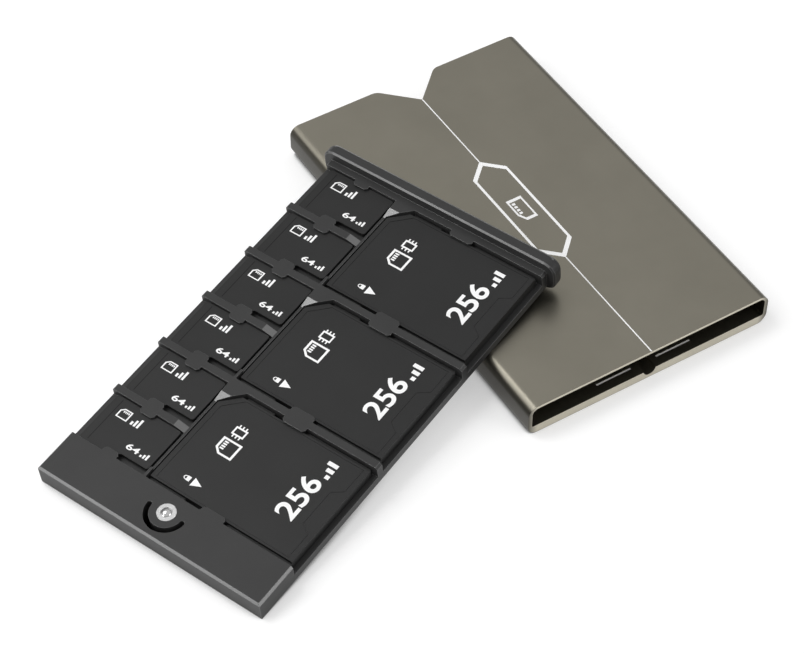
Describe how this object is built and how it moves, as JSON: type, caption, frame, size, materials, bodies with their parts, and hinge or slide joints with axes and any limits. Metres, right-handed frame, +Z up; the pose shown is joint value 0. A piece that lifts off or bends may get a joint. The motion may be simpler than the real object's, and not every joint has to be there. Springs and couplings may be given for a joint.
{
  "type": "memory card case",
  "caption": "Flat pocket case for memory cards: a metal sleeve with a finger notch, and a card tray with pockets, hold-down tabs, a ball catch and an end flange, leaning on it.",
  "frame": {"origin": "middle of the sleeve's underside", "axes": "+X across the sleeve, away from the leaning tray; +Y along the sleeve towards its finger notch; +Z up"},
  "size_m": [0.135, 0.097, 0.0157],
  "materials": {
    "sleeve_metal": "satin anodised",
    "tray_plastic": "fine matt",
    "steel": "turned",
    "ball_steel": "polished",
    "card_plastic": "matt",
    "card_label": "matt print",
    "lock_plastic": "matt",
    "board_green": "solder mask",
    "contact_metal": "gold plated"
  },
  "bodies": {
    "sleeve": {"sleeve_shell": "sleeve_metal"},
    "tray": {"tray_frame": "tray_plastic", "catch_cup": "steel", "catch_spring": "steel"},
    "catch_ball": {"catch_ball": "ball_steel"},
    "large_card_1": {"large_card_1_bottom_shell": "card_plastic", "large_card_1_top_shell": "card_plastic", "large_card_1_board": "board_green", "large_card_1_contacts": "contact_metal", "large_card_1_label": "card_label"},
    "large_card_1_lock": {"large_card_1_lock_slider": "lock_plastic"},
    "large_card_2": {"large_card_2_bottom_shell": "card_plastic", "large_card_2_top_shell": "card_plastic", "large_card_2_board": "board_green", "large_card_2_contacts": "contact_metal", "large_card_2_label": "card_label"},
    "large_card_2_lock": {"large_card_2_lock_slider": "lock_plastic"},
    "large_card_3": {"large_card_3_bottom_shell": "card_plastic", "large_card_3_top_shell": "card_plastic", "large_card_3_board": "board_green", "large_card_3_contacts": "contact_metal", "large_card_3_label": "card_label"},
    "large_card_3_lock": {"large_card_3_lock_slider": "lock_plastic"},
    "small_card_1": {"small_card_1_body": "card_plastic", "small_card_1_contacts": "contact_metal"},
    "small_card_2": {"small_card_2_body": "card_plastic", "small_card_2_contacts": "contact_metal"},
    "small_card_3": {"small_card_3_body": "card_plastic", "small_card_3_contacts": "contact_metal"},
    "small_card_4": {"small_card_4_body": "card_plastic", "small_card_4_contacts": "contact_metal"},
    "small_card_5": {"small_card_5_body": "card_plastic", "small_card_5_contacts": "contact_metal"},
    "small_card_6": {"small_card_6_body": "card_plastic", "small_card_6_contacts": "contact_metal"}
  },
  "joints": [
    {"name": "tray_lift", "type": "slide", "parent": "sleeve", "child": "tray", "axis": [0, 0, 1], "range_m": [0, 0.06]},
    {"name": "catch_press", "type": "slide", "parent": "tray", "child": "catch_ball", "axis": [-0.0959, -0.0385, 0.9946], "range_m": [-0.0004, 0], "stiffness_N_per_m": 300, "springref_m": 0.0003, "deforming": ["catch_spring"]},
    {"name": "large_card_1_slide", "type": "slide", "parent": "tray", "child": "large_card_1", "axis": [0.373, -0.9278, 0], "range_m": [0, 0.033]},
    {"name": "large_card_1_lock_slide", "type": "slide", "parent": "large_card_1", "child": "large_card_1_lock", "axis": [-0.373, 0.9278, 0], "range_m": [0, 0.0032]},
    {"name": "large_card_2_slide", "type": "slide", "parent": "tray", "child": "large_card_2", "axis": [0.373, -0.9278, 0], "range_m": [0, 0.033]},
    {"name": "large_card_2_lock_slide", "type": "slide", "parent": "large_card_2", "child": "large_card_2_lock", "axis": [-0.373, 0.9278, 0], "range_m": [0, 0.0032]},
    {"name": "large_card_3_slide", "type": "slide", "parent": "tray", "child": "large_card_3", "axis": [0.373, -0.9278, 0], "range_m": [0, 0.033]},
    {"name": "large_card_3_lock_slide", "type": "slide", "parent": "large_card_3", "child": "large_card_3_lock", "axis": [-0.373, 0.9278, 0], "range_m": [0, 0.0032]},
    {"name": "small_card_1_slide", "type": "slide", "parent": "tray", "child": "small_card_1", "axis": [-0.373, 0.9278, 0], "range_m": [0, 0.0165]},
    {"name": "small_card_2_slide", "type": "slide", "parent": "tray", "child": "small_card_2", "axis": [-0.373, 0.9278, 0], "range_m": [0, 0.0165]},
    {"name": "small_card_3_slide", "type": "slide", "parent": "tray", "child": "small_card_3", "axis": [-0.373, 0.9278, 0], "range_m": [0, 0.0165]},
    {"name": "small_card_4_slide", "type": "slide", "parent": "tray", "child": "small_card_4", "axis": [-0.373, 0.9278, 0], "range_m": [0, 0.0165]},
    {"name": "small_card_5_slide", "type": "slide", "parent": "tray", "child": "small_card_5", "axis": [-0.373, 0.9278, 0], "range_m": [0, 0.0165]},
    {"name": "small_card_6_slide", "type": "slide", "parent": "tray", "child": "small_card_6", "axis": [-0.373, 0.9278, 0], "range_m": [0, 0.0165]}
  ]
}
